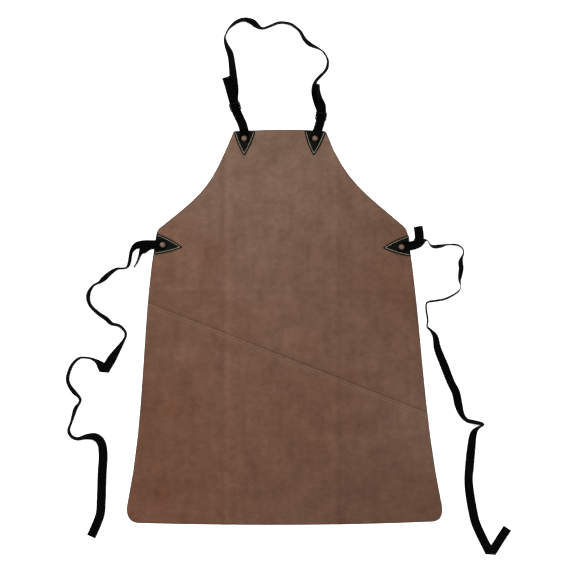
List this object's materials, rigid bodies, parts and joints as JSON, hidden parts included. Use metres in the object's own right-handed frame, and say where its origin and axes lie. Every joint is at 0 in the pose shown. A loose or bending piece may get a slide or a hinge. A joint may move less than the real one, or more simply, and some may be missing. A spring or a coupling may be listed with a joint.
{
  "type": "welding apron",
  "caption": "Split-leather bib apron of two lapped panels, laid flat, with riveted corner patches, webbing waist ties and a neck loop with slider buckles.",
  "frame": {"origin": "on the flat back of the apron, in the middle of the body", "axes": "+Z out of the front face, +Y towards the neck, +X to the right of someone who looks at the front"},
  "size_m": [0.8629, 1.0322, 0.0221],
  "materials": {
    "suede": "matt brown split leather with a short nap",
    "patch_leather": "matt black leather",
    "webbing": "black woven webbing",
    "thread": "cream sewing thread",
    "rivet": "copper-brown tubular rivet",
    "buckle": "black moulded plastic"
  },
  "bodies": {
    "apron": {"upper_panel": "suede", "lower_panel": "suede", "seam_thread_upper": "thread", "seam_thread_lower": "thread", "left_bib_patch": "patch_leather", "left_bib_patch_thread": "thread", "left_bib_rivet": "rivet", "left_bib_burr": "rivet", "right_bib_patch": "patch_leather", "right_bib_patch_thread": "thread", "right_bib_rivet": "rivet", "right_bib_burr": "rivet", "left_waist_patch": "patch_leather", "left_waist_patch_thread": "thread", "left_waist_rivet": "rivet", "left_waist_burr": "rivet", "right_waist_patch": "patch_leather", "right_waist_patch_thread": "thread", "right_waist_rivet": "rivet", "right_waist_burr": "rivet", "left_tab": "webbing", "right_tab": "webbing"},
    "neck_loop": {"neck_strap": "webbing", "neck_strap_left_end": "webbing", "neck_strap_right_end": "webbing", "left_buckle": "buckle", "right_buckle": "buckle"},
    "left_tie": {"left_waist_tie": "webbing", "left_tie_short_end": "webbing"},
    "right_tie": {"right_waist_tie": "webbing", "right_tie_short_end": "webbing"}
  },
  "joints": [
    {"name": "neck_loop_lift", "type": "hinge", "parent": "apron", "child": "neck_loop", "pos_m": [0, 0.384, 0.003], "axis": [1, 0, 0], "range_deg": [0, 150], "deforming": ["left_tab", "right_tab"]},
    {"name": "left_tie_swivel", "type": "hinge", "parent": "apron", "child": "left_tie", "pos_m": [-0.2363, 0.1599, 0.004], "axis": [0, 0, 1], "range_deg": [-24, 4]},
    {"name": "right_tie_swivel", "type": "hinge", "parent": "apron", "child": "right_tie", "pos_m": [0.2266, 0.1556, 0.004], "axis": [0, 0, 1], "range_deg": [-2, 24]}
  ]
}
